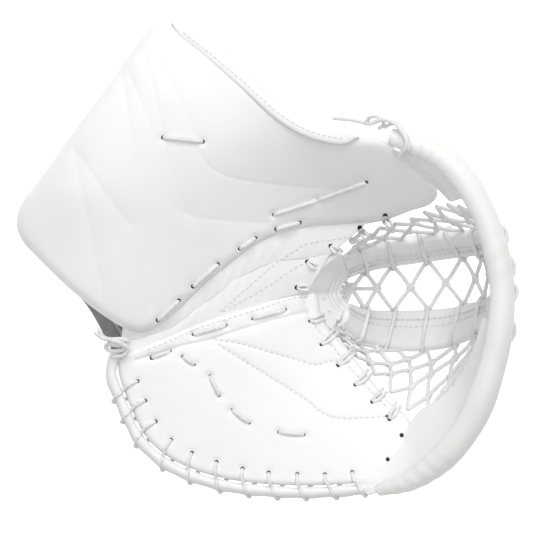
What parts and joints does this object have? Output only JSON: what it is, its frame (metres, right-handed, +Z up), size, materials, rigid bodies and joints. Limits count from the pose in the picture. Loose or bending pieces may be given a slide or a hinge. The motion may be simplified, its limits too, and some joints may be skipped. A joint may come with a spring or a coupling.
{
  "type": "goalie catch glove",
  "caption": "Ice hockey goalie catch glove with a one-piece cuff and thumb, laced palm, padded rim and a deep double-bar laced pocket, lying on its back.",
  "frame": {"origin": "under the middle of the glove's box, on the surface that it lies on, back down and pocket up", "axes": "+X from the cuff to the pocket's rim, +Y to the thumb, +Z up out of the pocket"},
  "size_m": [0.3804, 0.3744, 0.194],
  "materials": {
    "board_leather": "smooth white synthetic leather",
    "palm_leather": "soft matt white leather",
    "rim_leather": "soft warm white leather with small creases",
    "pocket_leather": "white leather bar wrap",
    "lace": "waxed white round lace",
    "liner": "dark grey brushed knit",
    "strap": "woven black nylon webbing",
    "buckle": "moulded black plastic"
  },
  "bodies": {
    "finger_side": {"palm_face": "palm_leather", "palm_liner": "liner", "palm_lace": "lace", "strip_lace": "lace", "pocket_lace": "lace", "perimeter_lace": "lace", "edge_welt_upper": "palm_leather", "edge_welt_lower": "palm_leather", "backhand_cover": "board_leather", "backhand_foam": "liner", "finger_wall_1": "liner", "finger_wall_2": "liner", "finger_wall_3": "liner", "hand_strap": "strap", "rim_finger": "rim_leather", "finger_cover": "rim_leather", "break_gusset": "board_leather", "heel_gusset": "liner", "heel_lace": "lace"},
    "pocket": {"t_bar_upper": "pocket_leather", "t_bar_lower": "pocket_leather", "t_base": "pocket_leather", "net_thumb": "lace", "net_centre": "lace", "net_finger": "lace", "rim_centre": "rim_leather", "rim_lace": "lace"},
    "thumb_side": {"cuff_thumb_board": "board_leather", "cuff_side_wall": "board_leather", "cuff_liner": "liner", "break_lace": "lace", "thumb_lace": "lace", "cuff_lace": "lace", "thumb_stall": "liner", "thumb_back_pad": "board_leather", "rim_thumb": "rim_leather", "thumb_flap": "rim_leather", "thumb_tip_lace": "lace", "wrist_strap": "strap", "strap_ring": "buckle", "ring_keeper": "strap", "wrist_pad": "liner"},
    "strap_tab": {"wrist_strap_tab": "strap"}
  },
  "joints": [
    {"name": "pocket_fold", "type": "hinge", "parent": "finger_side", "child": "pocket", "pos_m": [-0.1108, -0.06235, 0.088], "axis": [0.9662, 0.2577, 0], "range_deg": [0, 20], "stiffness_Nm_per_rad": 2, "deforming": ["break_gusset", "net_finger", "finger_cover", "rim_finger", "pocket_lace"]},
    {"name": "thumb_fold", "type": "hinge", "parent": "pocket", "child": "thumb_side", "pos_m": [-0.1108, -0.06235, 0.088], "axis": [0.9662, 0.2577, 0], "range_deg": [0, 20], "stiffness_Nm_per_rad": 2, "deforming": ["net_thumb", "rim_thumb", "thumb_flap", "break_lace", "heel_gusset", "heel_lace"]},
    {"name": "strap_tab_hinge", "type": "hinge", "parent": "thumb_side", "child": "strap_tab", "pos_m": [-0.03396, 0.10767, 0.047], "axis": [0.7431, -0.6691, 0], "range_deg": [0, 120]}
  ],
  "couplings": [
    {"joint": "thumb_fold", "follows": "pocket_fold", "ratio": 1}
  ]
}
